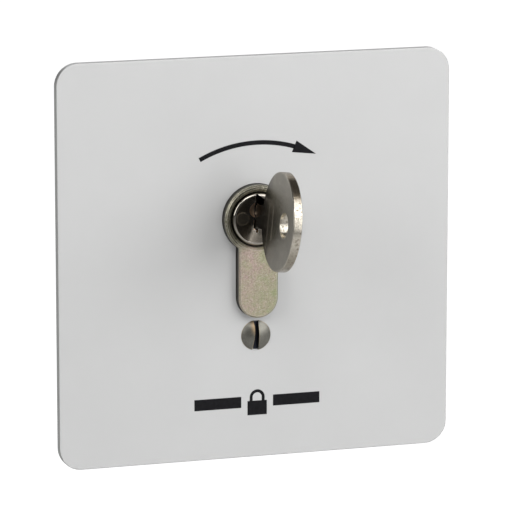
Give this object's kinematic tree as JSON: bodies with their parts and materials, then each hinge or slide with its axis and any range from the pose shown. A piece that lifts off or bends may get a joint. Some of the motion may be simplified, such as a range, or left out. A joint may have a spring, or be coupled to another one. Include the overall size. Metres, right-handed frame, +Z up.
{
  "type": "key switch",
  "caption": "Flush-mounted key switch: square cover plate, euro-profile half cylinder with its key, and a spring-return contact mechanism behind.",
  "frame": {"origin": "centre of the wall plane, behind the middle of the cover plate, where the plate's gasket and the support frame meet the wall", "axes": "-Y out of the wall through the key, +Y into the wall box, +Z up, +X to the right seen from the front"},
  "size_m": [0.1, 0.0834, 0.1],
  "materials": {
    "cover_plate": "fine satin paint",
    "cover_screw": "turned, slightly worn",
    "wall_gasket": "closed-cell foam",
    "support_frame": "zinc plated",
    "frame_screws": "zinc plated",
    "cylinder_carrier": "die cast, as cast",
    "cylinder_screw": "zinc plated",
    "cylinder_body": "satin nickel plated brass",
    "driver_pins": "turned",
    "pin_springs": "bronze wire",
    "chamber_plugs": "turned",
    "plug": "dark polished nickel",
    "anti_drill_pin": "hardened steel",
    "key_pins": "turned",
    "cam": "sintered steel",
    "cam_clip": "spring steel",
    "key": "nickel silver, worn",
    "switching_rotor": "moulded acetal",
    "rotor_axle": "turned",
    "return_spring": "spring wire",
    "rear_plate": "zinc plated",
    "spacers": "turned",
    "front_spacer_screws": "zinc plated",
    "rear_spacer_screws": "zinc plated",
    "contact_case": "moulded thermoset",
    "contact_cover": "moulded",
    "contact_block_screws": "zinc plated",
    "switch_plunger": "moulded acetal",
    "plunger_spring": "spring wire",
    "contact_bridge": "strip",
    "moving_contact_tips": "silver alloy",
    "fixed_contact_tips": "silver alloy",
    "left_contact": "strip",
    "right_contact": "strip",
    "terminal_clamps": "zinc plated",
    "terminal_screws": "zinc plated"
  },
  "bodies": {
    "housing": {"cover_plate": "cover_plate", "cover_screw": "cover_screw", "wall_gasket": "wall_gasket", "support_frame": "support_frame", "frame_screws": "frame_screws", "cylinder_carrier": "cylinder_carrier", "cylinder_screw": "cylinder_screw", "cylinder_body": "cylinder_body", "driver_pins": "driver_pins", "pin_springs": "pin_springs", "chamber_plugs": "chamber_plugs", "rotor_axle": "rotor_axle", "return_spring": "return_spring", "rear_plate": "rear_plate", "spacers": "spacers", "front_spacer_screws": "front_spacer_screws", "rear_spacer_screws": "rear_spacer_screws", "contact_case": "contact_case", "contact_cover": "contact_cover", "contact_block_screws": "contact_block_screws", "plunger_spring": "plunger_spring", "fixed_contact_tips": "fixed_contact_tips", "left_contact": "left_contact", "right_contact": "right_contact", "terminal_clamps": "terminal_clamps", "terminal_screws": "terminal_screws"},
    "plug": {"plug": "plug", "anti_drill_pin": "anti_drill_pin", "cam": "cam", "cam_clip": "cam_clip"},
    "key": {"key": "key"},
    "key_pins": {"key_pins": "key_pins"},
    "rotor": {"switching_rotor": "switching_rotor"},
    "plunger": {"switch_plunger": "switch_plunger", "contact_bridge": "contact_bridge", "moving_contact_tips": "moving_contact_tips"}
  },
  "joints": [
    {"name": "key_turn", "type": "hinge", "parent": "housing", "child": "plug", "pos_m": [0, 0, 0.01], "axis": [0, 1, 0], "range_deg": [0, 45], "stiffness_Nm_per_rad": 0.1},
    {"name": "key_pull", "type": "slide", "parent": "plug", "child": "key", "axis": [0, -1, 0], "range_m": [0, 0.03]},
    {"name": "key_pins_rise", "type": "slide", "parent": "plug", "child": "key_pins", "axis": [0, 0, 1], "range_m": [0, 0.0021]},
    {"name": "rotor_turn", "type": "hinge", "parent": "housing", "child": "rotor", "pos_m": [0, 0.0376, 0.01], "axis": [0, 1, 0], "range_deg": [0, 45], "deforming": ["return_spring"]},
    {"name": "plunger_push", "type": "slide", "parent": "housing", "child": "plunger", "axis": [0, 0, -1], "range_m": [0, 0.00248], "stiffness_N_per_m": 0.01, "springref_m": -0.31845, "deforming": ["plunger_spring"]}
  ],
  "couplings": [
    {"joint": "rotor_turn", "follows": "key_turn", "ratio": 1},
    {"joint": "plunger_push", "follows": "key_turn", "m_per_rad": 0.0031513},
    {"joint": "key_pins_rise", "follows": "key_pull", "ratio": 0.07}
  ]
}
